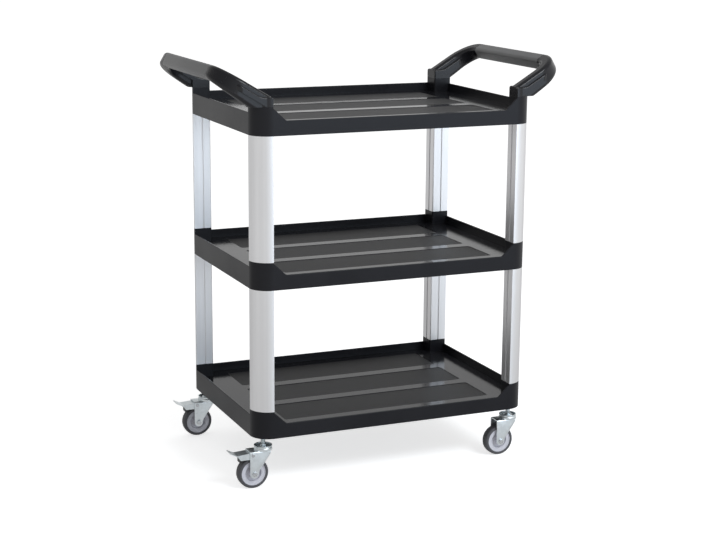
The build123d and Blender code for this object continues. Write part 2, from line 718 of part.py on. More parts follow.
def caster_pieces(braked):
    """Pieces of one caster by name, with the stem's axis on the origin's vertical."""
    pieces = {
        "caster_stem": make_stem(),
        "swivel_bearing": make_bearing(),
        "caster_fork": make_fork(braked),
        "axle_bolt": make_axle_bolt(),
        "axle_nut": make_axle_nut(),
        "axle_bush": make_axle_bush(),
        "wheel_hub": make_wheel_hub(),
        "tyre": make_tyre(),
    }
    if braked:
        pieces["brake_pin"] = make_brake_pin()
        pieces["brake_pedal"] = make_pedal()
        pieces["brake_shoe"] = make_brake_shoe()
    return pieces


right_handle = make_right_handle()
right_grip = make_right_grip()
nodes = {
    "bottom_tray": Pos(0, 0, TRAY_HEIGHTS[0]) * make_bottom_tray(),
    "middle_tray": Pos(0, 0, TRAY_HEIGHTS[1]) * make_middle_tray(),
    "top_tray": Pos(0, 0, TRAY_HEIGHTS[2]) * make_top_tray(),
    "right_handle": right_handle,
    "left_handle": at_corner(right_handle, -1, 1),
    "right_grip": right_grip,
    "left_grip": at_corner(right_grip, -1, 1),
    "handle_screws": make_handle_screws(),
    "caster_inserts": make_inserts(),
}
for corner, (side_x, side_y) in CORNERS.items():
    nodes[f"{corner}_lower_post"] = make_post(0, side_x, side_y)
    nodes[f"{corner}_upper_post"] = make_post(1, side_x, side_y)
    stem_place = Pos(side_x * SOCKET_X, side_y * SOCKET_Y)
    for piece, shape in caster_pieces(corner in BRAKED).items():
        nodes[f"{corner}_{piece}"] = stem_place * shape

os.makedirs("parts", exist_ok=True)
for name, shape in nodes.items():
    export_step(shape, f"parts/{name}.step")
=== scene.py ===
"""Looks of a three-tier serving trolley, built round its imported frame.

Metres, +Z up, +X towards the right handle, -Y the low front edge of the trays.
"""

import json
import logging
import math
from abc import ABC, abstractmethod
from dataclasses import dataclass
from enum import Enum
from typing import Any, Callable, Iterable, Sequence

import bmesh
import bpy
from mathutils import Matrix, Vector


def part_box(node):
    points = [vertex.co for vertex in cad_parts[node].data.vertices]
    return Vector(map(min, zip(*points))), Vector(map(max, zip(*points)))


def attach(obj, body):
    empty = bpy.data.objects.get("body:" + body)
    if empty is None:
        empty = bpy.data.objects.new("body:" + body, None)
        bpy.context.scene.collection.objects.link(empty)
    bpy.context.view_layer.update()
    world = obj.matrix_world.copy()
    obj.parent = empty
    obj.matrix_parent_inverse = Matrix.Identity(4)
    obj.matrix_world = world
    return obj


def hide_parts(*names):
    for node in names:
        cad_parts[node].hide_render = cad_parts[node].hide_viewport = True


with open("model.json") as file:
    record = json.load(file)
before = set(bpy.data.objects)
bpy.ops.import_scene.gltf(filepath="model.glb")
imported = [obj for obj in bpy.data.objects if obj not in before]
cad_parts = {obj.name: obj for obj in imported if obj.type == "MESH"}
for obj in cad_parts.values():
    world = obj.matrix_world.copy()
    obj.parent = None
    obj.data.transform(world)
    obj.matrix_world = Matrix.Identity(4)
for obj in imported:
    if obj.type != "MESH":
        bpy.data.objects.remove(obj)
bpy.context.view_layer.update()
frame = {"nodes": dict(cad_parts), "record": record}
LOG = logging.getLogger("trolley")

Triple = tuple[float, float, float]
Colour = Triple
Span = tuple[float, float]
# A section's corner: distance from the axis, place along it and size of the corner's round.
SectionCorner = Triple
Node = bpy.types.Node
Piece = bpy.types.Object
Socket = bpy.types.NodeSocket

MM = 0.001
# Points nearer to each other than this become one.
WELD = 0.001 * MM
# Room between pieces that turn past each other.
FREE_GAP = 0.3 * MM
# A bend sharper than this is shaded as an edge.
CREASE = math.radians(35.0)
# Just short of one: for rounds that must not meet, and for faces that look straight one way.
NEARLY = 0.999
HEXAGON = 6
UNIT = (0.0, 1.0)
WHITE = (1.0, 1.0, 1.0, 1.0)
OUTWARD = Vector((1.0, 0.0, 0.0))
ACROSS = Vector((0.0, 1.0, 0.0))
UPRIGHT = Vector((0.0, 0.0, 1.0))


class Corner(Enum):
    """The four corners, each with its side along X and along Y."""

    FRONT_LEFT = (-1, -1)
    FRONT_RIGHT = (1, -1)
    REAR_LEFT = (-1, 1)
    REAR_RIGHT = (1, 1)

    @property
    def label(self) -> str:
        """Name that the corner's nodes start with."""
        return self.name.lower()

    @property
    def braked(self) -> bool:
        """True at the end whose casters carry brakes."""
        return self.value[0] < 0


class Side(Enum):
    """The two ends that have a handle, each with its side along X."""

    LEFT = -1
    RIGHT = 1

    @property
    def label(self) -> str:
        """Name that the end's nodes start with."""
        return self.name.lower()


class Slot(Enum):
    """The record's material slots."""

    TRAY = "tray_plastic"
    HANDLE = "handle_plastic"
    GRIP = "grip_rubber"
    POST = "post_aluminium"
    ZINC = "zinc_plate"
    FASTENER = "fastener_steel"
    HUB = "hub_plastic"
    TREAD = "tread_rubber"
    BRAKE = "brake_plastic"


class Rounding(Enum):
    """What a round is put on."""

    EDGES = "EDGES"
    CORNERS = "VERTICES"


class Graph:
    """Adds and links the nodes of one tree."""

    def __init__(self, tree: bpy.types.NodeTree) -> None:
        """Empties the tree that the nodes go into."""
        self.tree = tree
        tree.nodes.clear()

    def add(self, kind: str, inputs: dict[Any, Any] | None = None, **settings: Any) -> Node:
        """Adds one node.

        Args:
            kind: Node type, without the prefix of shader nodes.
            inputs: Values or sockets by the input's name or place.
            settings: Attributes of the node.

        Returns:
            The new node.
        """
        node = self.tree.nodes.new(kind if kind.startswith("Node") else f"ShaderNode{kind}")
        for name, value in settings.items():
            setattr(node, name, value)
        for key, value in (inputs or {}).items():
            if isinstance(value, bpy.types.NodeSocket):
                self.tree.links.new(value, node.inputs[key])
            else:
                node.inputs[key].default_value = value
        return node

    def math(self, operation: str, first: Any, second: Any = 0.0, third: Any = 0.0) -> Socket:
        """Adds a Math node of up to three values or sockets and gives its result."""
        return self.add("Math", {0: first, 1: second, 2: third}, operation=operation).outputs[0]

    def weigh(self, first: Socket, second: Socket, share: float) -> Socket:
        """Adds a share of the first value to the rest of the second."""
        rest = self.math("MULTIPLY", second, 1.0 - share)
        return self.math("MULTIPLY_ADD", first, share, rest)

    def remap(self, value: Socket, source: Span, target: Span = UNIT) -> Socket:
        """Adds a clamped Map Range node that takes a value from one range to another.

        Args:
            value: Socket to remap.
            source: Range that is read.
            target: Range that it becomes.

        Returns:
            The result's socket.
        """
        inputs = {
            "Value": value, "From Min": source[0], "From Max": source[1],
            "To Min": target[0], "To Max": target[1],
        }
        return self.add("MapRange", inputs).outputs[0]

    def mix(self, factor: Socket, first: Any, second: Any) -> Socket:
        """Mixes two values by the second one's share, as inputs 2 and 3 of a Mix node."""
        return self.add("Mix", {0: factor, 2: first, 3: second}, data_type="FLOAT").outputs[0]

    def blend(self, factor: Socket, first: Any, second: Any) -> Socket:
        """Mixes two colours by the second one's share, as inputs 6 and 7 of a Mix node."""
        return self.add("Mix", {0: factor, 6: first, 7: second}, data_type="RGBA").outputs[2]

    def noise(self, vector: Socket, scale: Any, detail: float, roughness: float = 0.5) -> Socket:
        """Adds a Noise Texture with a scale in cells per metre and gives its value."""
        inputs = {"Vector": vector, "Scale": scale, "Detail": detail, "Roughness": roughness}
        return self.add("TexNoise", inputs).outputs[0]

    def cells(self, vector: Socket, scale: Socket) -> bpy.types.NodeOutputs:
        """Adds a Voronoi Texture and gives its outputs."""
        return self.add("TexVoronoi", {"Vector": vector, "Scale": scale}).outputs

    def stretched(self, vector: Socket, scale: Triple, turn: Triple = (0.0, 0.0, 0.0)) -> Socket:
        """Scales coordinates along each axis and turns them about each axis."""
        inputs = {"Vector": vector, "Scale": scale, "Rotation": turn}
        return self.add("Mapping", inputs).outputs[0]

    def place(self) -> Socket:
        """Adds the coordinates in the trolley's own frame."""
        return self.add("TexCoord").outputs["Object"]

    def axes(self, vector: Socket) -> bpy.types.NodeOutputs:
        """Splits a vector and gives its parts by axis."""
        return self.add("SeparateXYZ", {0: vector}).outputs

    def upward(self, span: Span) -> Socket:
        """Adds a mask of what faces up, which rises over a span of the normal's height."""
        normal = self.add("NewGeometry").outputs["Normal"]
        return self.remap(self.axes(normal)["Z"], span)


class Effects:
    """Surface effects that several finishes share, each a node group that is built once."""

    PEBBLE_SHARE = 0.45
    RUB_STRETCH = (14.0, 150.0, 90.0)
    RUB_TURN = (0.0, 0.2, 0.5)
    RUB_SPAN = (0.62, 0.78)
    SCRATCH_STRETCH = (120.0, 9.0, 70.0)
    SCRATCH_TURN = (0.3, 0.0, -0.35)
    SCRATCH_SPAN = (0.66, 0.80)
    DUST_SCALE = 420.0
    DUST_SPAN = (0.48, 0.72)
    DUST_FACING = (0.55, 0.98)
    DRAWN_STRETCH = (1.0, 1.0, 0.004)
    BAND_WIDENING = 0.12
    CRYSTAL_SHARE = 0.4
    HAZE_FINENESS = 2.6

    def __init__(self) -> None:
        """Builds the groups."""
        self.grain = self._group("moulded_grain", {"Scale": 900.0}, ["Height"], self._fill_grain)
        marks = ["Cloud", "Scuff", "Dust"]
        self.wear = self._group("handling_wear", {"Scale": 7.0}, marks, self._fill_wear)
        self.lines = self._group("drawn_lines", {"Density": 1500.0}, ["Line", "Band"], self._fill_lines)
        self.spangle = self._group("plated_spangle", {"Scale": 160.0}, ["Spangle"], self._fill_spangle)

    @staticmethod
    def _group(name: str, inputs: dict[str, float], outputs: list[str],
               fill: Callable[[Graph, Node], dict[str, Socket]]) -> bpy.types.NodeTree:
        """Makes one group and fills it.

        Args:
            name: The group's name.
            inputs: Default values by input name.
            outputs: Names of the value outputs.
            fill: Method that adds the nodes and gives a socket for each output.

        Returns:
            The node group.
        """
        tree = bpy.data.node_groups.new(name, "ShaderNodeTree")
        for label, value in inputs.items():
            socket = tree.interface.new_socket(name=label, in_out="INPUT", socket_type="NodeSocketFloat")
            socket.default_value = value
        for label in outputs:
            tree.interface.new_socket(name=label, in_out="OUTPUT", socket_type="NodeSocketFloat")
        graph = Graph(tree)
        results = fill(graph, graph.add("NodeGroupInput"))
        graph.add("NodeGroupOutput", results)
        return tree

    def _fill_grain(self, graph: Graph, given: Node) -> dict[str, Socket]:
        """Fine pebbled grain of a moulded surface.

        Args:
            graph: Graph to fill.
            given: The group's input node.

        Returns:
            Sockets by output name.
        """
        place = graph.place()
        scale = given.outputs["Scale"]
        fine = graph.noise(place, scale, detail=2.0, roughness=0.6)
        pebbles = graph.cells(place, scale)["Distance"]
        return {"Height": graph.weigh(pebbles, fine, self.PEBBLE_SHARE)}

    def _fill_wear(self, graph: Graph, given: Node) -> dict[str, Socket]:
        """Uneven sheen, fine rub marks and a little dust on what faces up.

        Args:
            graph: Graph to fill.
            given: The group's input node.

        Returns:
            Sockets by output name.
        """
        place = graph.place()
        cloud = graph.noise(place, given.outputs["Scale"], detail=3.0, roughness=0.55)
        rubbed = graph.stretched(place, self.RUB_STRETCH, self.RUB_TURN)
        streak = graph.remap(graph.noise(rubbed, 1.0, detail=2.0), self.RUB_SPAN)
        crossed = graph.stretched(place, self.SCRATCH_STRETCH, self.SCRATCH_TURN)
        scratch = graph.remap(graph.noise(crossed, 1.0, detail=1.0), self.SCRATCH_SPAN)
        scuff = graph.math("MULTIPLY", graph.math("MAXIMUM", streak, scratch), cloud)
        specks = graph.noise(place, self.DUST_SCALE, detail=3.0, roughness=0.7)
        specks = graph.remap(specks, self.DUST_SPAN)
        dust = graph.math("MULTIPLY", graph.upward(self.DUST_FACING), specks)
        return {"Cloud": cloud, "Scuff": scuff, "Dust": dust}

    def _fill_lines(self, graph: Graph, given: Node) -> dict[str, Socket]:
        """Fine lines that a drawing die leaves along Z, and their wider bands.

        Args:
            graph: Graph to fill.
            given: The group's input node.

        Returns:
            Sockets by output name.
        """
        place = graph.stretched(graph.place(), self.DRAWN_STRETCH)
        density = given.outputs["Density"]
        line = graph.noise(place, density, detail=3.0, roughness=0.65)
        band = graph.noise(place, graph.math("MULTIPLY", density, self.BAND_WIDENING), detail=2.0)
        return {"Line": line, "Band": band}

    def _fill_spangle(self, graph: Graph, given: Node) -> dict[str, Socket]:
        """Mottled crystals of a zinc plating.

        Args:
            graph: Graph to fill.
            given: The group's input node.

        Returns:
            Sockets by output name.
        """
        place = graph.place()
        scale = given.outputs["Scale"]
        crystal = graph.axes(graph.cells(place, scale)["Color"])["X"]
        fineness = graph.math("MULTIPLY", scale, self.HAZE_FINENESS)
        haze = graph.noise(place, fineness, detail=3.0, roughness=0.6)
        return {"Spangle": graph.weigh(crystal, haze, self.CRYSTAL_SHARE)}


@dataclass(frozen=True, kw_only=True)
class Finish(ABC):
    """What every finish has: two close colours, a range of roughness and a fine relief."""

    slot: Slot
    colour: Colour
    tint: Colour
    tint_span: Span
    roughness: Span
    sheen_span: Span = (0.3, 0.7)
    scuff: float
    relief: float
    metallic: float
    specular: float = 0.5

    def make(self, effects: Effects) -> bpy.types.Material:
        """Makes the finish's material.

        Args:
            effects: Shared node groups.

        Returns:
            The material.
        """
        material = bpy.data.materials.new(f"{self.slot.value}_finish")
        material.use_nodes = True
        graph = Graph(material.node_tree)
        colour, roughness, height = self.surface(graph, effects)
        bump = graph.add("Bump", {"Strength": 1.0, "Distance": self.relief, "Height": height})
        shader = graph.add("BsdfPrincipled", {
            "Base Color": colour, "Roughness": roughness, "Metallic": self.metallic,
            "Specular IOR Level": self.specular, "Normal": bump.outputs[0],
        })
        graph.add("OutputMaterial", {"Surface": shader.outputs[0]})
        return material

    @abstractmethod
    def surface(self, graph: Graph, effects: Effects) -> tuple[Socket, Socket, Socket]:
        """Adds the nodes of the surface.

        Args:
            graph: The material's graph.
            effects: Shared node groups.

        Returns:
            Sockets of colour, roughness and height.
        """

    def tinted(self, graph: Graph, value: Socket) -> Socket:
        """Adds the mix of the finish's two colours by an uneven value."""
        share = graph.remap(value, self.tint_span)
        return graph.blend(share, (*self.colour, 1.0), (*self.tint, 1.0))

    def scuffed(self, graph: Graph, value: Socket, scuff: Socket) -> Socket:
        """Adds the roughness by an uneven value, with rub marks that are duller."""
        sheen = graph.remap(value, self.sheen_span, self.roughness)
        return graph.math("MULTIPLY_ADD", scuff, self.scuff, sheen)


@dataclass(frozen=True, kw_only=True)
class MouldedFinish(Finish):
    """A moulded surface: uneven sheen, fine grain and a little dust."""

    tint_span: Span = (0.35, 0.65)
    scuff: float = 0.12
    metallic: float = 0.0
    grain: float
    dust: float = 0.04
    dust_colour: Colour = (0.55, 0.54, 0.52)

    def surface(self, graph: Graph, effects: Effects) -> tuple[Socket, Socket, Socket]:
        """Adds the nodes of the surface.

        Args:
            graph: The material's graph.
            effects: Shared node groups.

        Returns:
            Sockets of colour, roughness and height.
        """
        wear = graph.add("Group", node_tree=effects.wear).outputs
        grain = graph.add("Group", {"Scale": self.grain}, node_tree=effects.grain)
        plain = self.tinted(graph, wear["Cloud"])
        dusty = graph.math("MULTIPLY", wear["Dust"], self.dust)
        colour = graph.blend(dusty, plain, (*self.dust_colour, 1.0))
        roughness = self.scuffed(graph, wear["Cloud"], wear["Scuff"])
        return colour, roughness, grain.outputs["Height"]


@dataclass(frozen=True, kw_only=True)
class TrayFinish(MouldedFinish):
    """A tray's surface: dull walls, polished bands on the floor and coarser sunk panels between them."""

    panel_length: float = 494.0 * MM
    panel_width: float = 111.0 * MM
    panel_pitch: float = 139.0 * MM
    panel_edge: float = 1.5 * MM
    panel_colour: Colour = (0.026, 0.026, 0.027)
    panel_roughness: float = 0.45
    panel_unevenness: float = 0.10
    panel_coarseness: float = 0.6
    polish: float = 0.12
    facing: Span = (0.7, 0.95)

    def panel_mask(self, graph: Graph) -> Socket:
        """Adds the mask of the sunk panels' outlines.

        Args:
            graph: The material's graph.

        Returns:
            A socket that is 1 inside the outlines.
        """
        axes = graph.axes(graph.place())
        along = graph.math("ABSOLUTE", axes["X"])
        shifted = graph.math("ADD", axes["Y"], self.panel_pitch / 2)
        within = graph.math("FLOORED_MODULO", shifted, self.panel_pitch)
        across = graph.math("ABSOLUTE", graph.math("SUBTRACT", within, self.panel_pitch / 2))
        inside_ends = self.inside(graph, along, self.panel_length / 2)
        inside_sides = self.inside(graph, across, self.panel_width / 2)
        return graph.math("MULTIPLY", inside_ends, inside_sides)

    def inside(self, graph: Graph, distance: Socket, reach: float) -> Socket:
        """Adds a mask of what lies nearer to a panel's middle than the panel reaches."""
        return graph.remap(distance, (reach - self.panel_edge, reach), (1.0, 0.0))

    def surface(self, graph: Graph, effects: Effects) -> tuple[Socket, Socket, Socket]:
        """Adds the nodes of the surface, with the panels set apart.

        Args:
            graph: The material's graph.
            effects: Shared node groups.

        Returns:
            Sockets of colour, roughness and height.
        """
        colour, roughness, height = super().surface(graph, effects)
        upward = graph.upward(self.facing)
        panel = graph.math("MULTIPLY", self.panel_mask(graph), upward)
        colour = graph.blend(panel, colour, (*self.panel_colour, 1.0))
        dull = graph.math("MULTIPLY_ADD", height, self.panel_unevenness, self.panel_roughness)
        roughness = graph.mix(panel, graph.mix(upward, roughness, self.polish), dull)
        coarse = graph.add("Group", {"Scale": self.grain * self.panel_coarseness}, node_tree=effects.grain)
        deep = graph.math("MULTIPLY", coarse.outputs["Height"], panel)
        return colour, roughness, graph.math("ADD", height, deep)


@dataclass(frozen=True, kw_only=True)
class DrawnFinish(Finish):
    """Anodised drawn metal with fine lines along its length."""

    tint_span: Span = (0.3, 0.7)
    scuff: float = 0.08
    metallic: float = 1.0
    density: float = 1500.0
    band_share: float = 0.6

    def surface(self, graph: Graph, effects: Effects) -> tuple[Socket, Socket, Socket]:
        """Adds the nodes of the surface.

        Args:
            graph: The material's graph.
            effects: Shared node groups.

        Returns:
            Sockets of colour, roughness and height.
        """
        lines = graph.add("Group", {"Density": self.density}, node_tree=effects.lines).outputs
        wear = graph.add("Group", node_tree=effects.wear).outputs
        colour = self.tinted(graph, graph.weigh(lines["Band"], wear["Cloud"], self.band_share))
        roughness = self.scuffed(graph, lines["Line"], wear["Scuff"])
        return colour, roughness, lines["Line"]


@dataclass(frozen=True, kw_only=True)
class PlatedFinish(Finish):
    """Plated steel with a faint mottle."""

    tint_span: Span = (0.3, 0.7)
    sheen_span: Span = (0.25, 0.75)
    scuff: float = 0.1
    metallic: float = 1.0
    grain: float
    spangle: float = 160.0

    def surface(self, graph: Graph, effects: Effects) -> tuple[Socket, Socket, Socket]:
        """Adds the nodes of the surface.

        Args:
            graph: The material's graph.
            effects: Shared node groups.

        Returns:
            Sockets of colour, roughness and height.
        """
        mottle = graph.add("Group", {"Scale": self.spangle}, node_tree=effects.spangle).outputs["Spangle"]
        wear = graph.add("Group", node_tree=effects.wear).outputs
        grain = graph.add("Group", {"Scale": self.grain}, node_tree=effects.grain)
        roughness = self.scuffed(graph, mottle, wear["Scuff"])
        return self.tinted(graph, mottle), roughness, grain.outputs["Height"]


FINISHES = (
    TrayFinish(
        slot=Slot.TRAY, colour=(0.0092, 0.0093, 0.0118), tint=(0.0125, 0.0127, 0.0158),
        roughness=(0.28, 0.36), grain=900.0, relief=0.04 * MM, specular=0.20,
    ),
    MouldedFinish(
        slot=Slot.HANDLE, colour=(0.0085, 0.0085, 0.0105), tint=(0.0120, 0.0120, 0.0145),
        roughness=(0.20, 0.28), grain=1100.0, relief=0.02 * MM, dust=0.02, specular=0.35,
    ),
    MouldedFinish(
        slot=Slot.GRIP, colour=(0.165, 0.165, 0.166), tint=(0.198, 0.198, 0.199),
        roughness=(0.42, 0.52), grain=1300.0, relief=0.06 * MM, dust=0.03,
    ),
    DrawnFinish(
        slot=Slot.POST, colour=(0.83, 0.83, 0.84), tint=(0.88, 0.88, 0.89),
        roughness=(0.38, 0.48), relief=0.01 * MM,
    ),
    PlatedFinish(
        slot=Slot.ZINC, colour=(0.75, 0.80, 0.82), tint=(0.82, 0.87, 0.89),
        roughness=(0.30, 0.38), grain=700.0, relief=0.01 * MM,
    ),
    PlatedFinish(
        slot=Slot.FASTENER, colour=(0.56, 0.58, 0.60), tint=(0.66, 0.68, 0.70),
        roughness=(0.22, 0.34), grain=800.0, relief=0.01 * MM, spangle=300.0,
    ),
    MouldedFinish(
        slot=Slot.HUB, colour=(0.60, 0.595, 0.645), tint=(0.66, 0.655, 0.70),
        roughness=(0.36, 0.46), grain=1000.0, relief=0.03 * MM, dust=0.05,
    ),
    MouldedFinish(
        slot=Slot.TREAD, colour=(0.074, 0.073, 0.080), tint=(0.092, 0.091, 0.098),
        roughness=(0.58, 0.72), grain=1200.0, relief=0.08 * MM, dust=0.05,
    ),
    MouldedFinish(
        slot=Slot.BRAKE, colour=(0.016, 0.016, 0.017), tint=(0.024, 0.024, 0.025),
        roughness=(0.45, 0.55), grain=1000.0, relief=0.05 * MM, dust=0.03,
    ),
)


class Materials:
    """The trolley's finishes by slot."""

    def __init__(self) -> None:
        """Makes every material."""
        effects = Effects()
        self.by_slot = {finish.slot: finish.make(effects) for finish in FINISHES}

    def dress_frame(self) -> list[Piece]:
        """Puts each frame node's finish on it.

        Returns:
            The frame's nodes.
        """
        nodes = []
        for row in frame["record"]["subparts"]:
            node = frame["nodes"][row["node"]]
            node.material_slots[0].material = self.by_slot[Slot(row["material_slot"])]
            nodes.append(node)
        return nodes


class Blank:
    """A mesh that operators shape, and that becomes one piece of the trolley."""

    CORNER_SEGMENTS = 5
    # Shares of a thread's pitch at which the ridge is up, starts down and is down again.
    CREST_START = 0.35
    CREST_END = 0.5
    GROOVE_START = 0.85

    def __init__(self, name: str) -> None:
        """Starts the empty mesh of a piece."""
        self.name = name
        self.bm = bmesh.new()

    def soften(self, parts: Iterable[Any], size: float, segments: int,
               rounding: Rounding = Rounding.EDGES) -> None:
        """Rounds edges or corners.

        Args:
            parts: Edges or corners to round.
            size: How far the round reaches.
            segments: Steps across the round.
            rounding: Whether the parts are edges or corners.
        """
        bmesh.ops.bevel(
            self.bm, geom=list(parts), offset=size, offset_type="OFFSET", segments=segments,
            profile=0.5, affect=rounding.value, material=-1, clamp_overlap=True,
        )

    def fresh(self, others: set[bmesh.types.BMVert]) -> tuple[list[Any], list[Any], list[Any]]:
        """Finds what was added.

        Args:
            others: Points that were there before.

        Returns:
            The new points, their edges and their faces.
        """
        verts = [vert for vert in self.bm.verts if vert not in others]
        edges = list(dict.fromkeys(edge for vert in verts for edge in vert.link_edges))
        faces = list(dict.fromkeys(face for vert in verts for face in vert.link_faces))
        return verts, edges, faces

    def turn(self, section: Sequence[SectionCorner], centre: Vector, axis: Vector, steps: int) -> None:
        """Turns a section about an axis.

        Args:
            section: The section's corners in order.
            centre: Point on the axis from which places along it count.
            axis: Direction of the axis, at right angles to X.
            steps: Flats round the full turn.
        """
        before = set(self.bm.verts)
        points = [centre + OUTWARD * reach + axis * place for reach, place, _ in section]
        corners = [self.bm.verts.new(point) for point in points]
        self.bm.faces.new(corners)
        for corner, (_, _, size) in zip(corners, section):
            if size:
                self.soften([corner], size, self.CORNER_SEGMENTS, Rounding.CORNERS)
        _, _, faces = self.fresh(before)
        bmesh.ops.delete(self.bm, geom=faces, context="FACES_ONLY")
        verts, edges, _ = self.fresh(before)
        bmesh.ops.spin(
            self.bm, geom=verts + edges, cent=centre, axis=axis, angle=math.tau, steps=steps,
            use_merge=True,
        )

    def thread(self, centre: Vector, radius: float, depth: float, pitch: float, length: float,
               steps: int) -> None:
        """Winds a screw thread up a vertical axis, closed at both ends.

        Args:
            centre: Lower end of the thread's axis.
            radius: Radius of the crest.
            depth: Depth of the groove.
            pitch: Rise of one turn.
            length: Length of the thread.
            steps: Flats round one turn.
        """
        before = set(self.bm.verts)
        groove = radius - depth
        ridge = (
            (groove, 0.0),
            (radius, self.CREST_START * pitch),
            (radius, self.CREST_END * pitch),
            (groove, self.GROOVE_START * pitch),
            (groove, pitch),
        )
        start = centre - UPRIGHT * pitch
        points = [self.bm.verts.new(start + OUTWARD * reach + UPRIGHT * rise) for reach, rise in ridge]
        edges = [self.bm.edges.new(pair) for pair in zip(points, points[1:])]
        turns = math.ceil(length / pitch) + 1
        bmesh.ops.spin(
            self.bm, geom=points + edges, cent=centre, axis=UPRIGHT, angle=math.tau * turns,
            dvec=UPRIGHT * (pitch / steps), steps=steps * turns,
        )
        wound, _, _ = self.fresh(before)
        bmesh.ops.remove_doubles(self.bm, verts=wound, dist=WELD)
        self.trim(before, centre, -UPRIGHT)
        self.trim(before, centre + UPRIGHT * length, UPRIGHT)

    def trim(self, others: set[bmesh.types.BMVert], place: Vector, way: Vector) -> None:
        """Cuts a shell off at a plane and closes it there.

        Args:
            others: Points that are left alone.
            place: Point on the plane.
            way: Direction of what is cut away.
        """
        verts, edges, faces = self.fresh(others)
        cut = bmesh.ops.bisect_plane(
            self.bm, geom=verts + edges + faces, dist=WELD, plane_co=place, plane_no=way,
            clear_outer=True,
        )
        rim = [part for part in cut["geom_cut"] if isinstance(part, bmesh.types.BMEdge)]
        bmesh.ops.holes_fill(self.bm, edges=rim, sides=0)

    def deliver(self, materials: Materials, body: str, slot: Slot, node: str) -> Piece:
        """Closes the mesh and puts it on the trolley.

        Args:
            materials: The trolley's finishes.
            body: Body that the piece rides on.
            slot: Material slot of its finish.
            node: Frame node that it stands for.

        Returns:
            The piece.
        """
        bmesh.ops.remove_doubles(self.bm, verts=self.bm.verts[:], dist=WELD)
        bmesh.ops.delete(self.bm, geom=[edge for edge in self.bm.edges if edge.is_wire], context="EDGES")
        bmesh.ops.recalc_face_normals(self.bm, faces=self.bm.faces[:])
        for face in self.bm.faces:
            face.smooth = True
        for edge in self.bm.edges:
            edge.smooth = edge.calc_face_angle(0.0) < CREASE
        mesh = bpy.data.meshes.new(self.name)
        self.bm.to_mesh(mesh)
        self.bm.free()
        mesh.materials.append(materials.by_slot[slot])
        piece = bpy.data.objects.new(self.name, mesh)
        bpy.context.scene.collection.objects.link(piece)
        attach(piece, body)
        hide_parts(node)
        return piece


class Extent:
    """Box of one frame node."""

    def __init__(self, node: str) -> None:
        """Reads the node's box.

        Args:
            node: Name of the node.
        """
        low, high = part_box(node)
        self.low = Vector(low)
        self.high = Vector(high)
        self.middle = (self.low + self.high) / 2
        self.half = (self.high - self.low) / 2


def both_sides(side: Sequence[SectionCorner]) -> list[SectionCorner]:
    """Closes the half of a section with its mirror image at the other end of the axis."""
    return [*side, *((reach, -place, size) for reach, place, size in reversed(side))]


@dataclass(frozen=True)
class CasterPart(ABC):
    """One sub-assembly of a caster, with the sizes that several of them use."""

    corner: Corner
    materials: Materials
    stem: float = 5.0 * MM
    chamfer: float = 0.6 * MM
    edge_round: float = 0.3 * MM

    @abstractmethod
    def build(self) -> list[Piece]:
        """Makes the sub-assembly's pieces."""

    def named(self, name: str) -> str:
        """Name of one of this caster's nodes, pieces or bodies."""
        return f"{self.corner.label}_{name}"

    def extent(self, node: str) -> Extent:
        """Box of one of this caster's nodes."""
        return Extent(self.named(node))

    def blank(self, piece: str) -> Blank:
        """Empty mesh of one of this caster's pieces."""
        return Blank(self.named(piece))


@dataclass(frozen=True)
class Wheel(CasterPart):
    """A tyre on a dished hub."""

    shoulder: float = 4.5 * MM
    crown: float = 0.5 * MM
    part_line: float = 0.4 * MM
    bead: float = 0.8 * MM
    bore: float = 6.05 * MM
    boss: float = 9.5 * MM
    web: float = 1.6 * MM
    web_round: float = 1.0 * MM
    rim: float = 10.0 * MM
    rim_face: float = 9.5 * MM
    lip: float = 1.8 * MM
    dish: float = 1.2 * MM
    dish_round: float = 0.4 * MM
    draft: float = 0.6 * MM
    steps: int = 96

    def build(self) -> list[Piece]:
        """Makes the tyre and the hub."""
        return [self.make_tyre(), self.make_hub()]

    def make_tyre(self) -> Piece:
        """Makes the tyre: a slightly crowned tread with a fine line round its middle.

        Returns:
            The piece.
        """
        tyre = self.extent("tyre")
        inner = self.extent("wheel_hub").half.z
        outer = tyre.half.z
        flank = tyre.half.y
        section = (
            (inner, -flank, self.bead),
            (outer - self.crown, -flank, self.shoulder),
            (outer, -self.part_line, 0.0),
            (outer - self.part_line / 2, 0.0, 0.0),
            (outer, self.part_line, 0.0),
            (outer - self.crown, flank, self.shoulder),
            (inner, flank, self.bead),
        )
        blank = self.blank("tyre_tread")
        blank.turn(section, tyre.middle, ACROSS, self.steps)
        return blank.deliver(self.materials, self.named("wheel"), Slot.TREAD, self.named("tyre"))

    def make_hub(self) -> Piece:
        """Makes the hub: a boss, a sunk web and a dished rim with a narrow lip.

        Returns:
            The piece.
        """
        hub = self.extent("wheel_hub")
        outer = hub.half.z
        boss_face = hub.half.y
        dish_face = self.rim_face - self.dish
        side = (
            (self.bore, boss_face, self.edge_round),
            (self.boss, boss_face, self.chamfer),
            (self.boss, self.web, self.web_round),
            (outer - self.rim, self.web, self.web_round),
            (outer - self.rim + self.draft, dish_face, self.chamfer),
            (outer - self.lip - self.draft, dish_face, self.dish_round),
            (outer - self.lip, self.rim_face, self.edge_round),
            (outer, self.rim_face, self.edge_round),
        )
        blank = self.blank("moulded_hub")
        blank.turn(both_sides(side), hub.middle, ACROSS, self.steps)
        return blank.deliver(self.materials, self.named("wheel"), Slot.HUB, self.named("wheel_hub"))


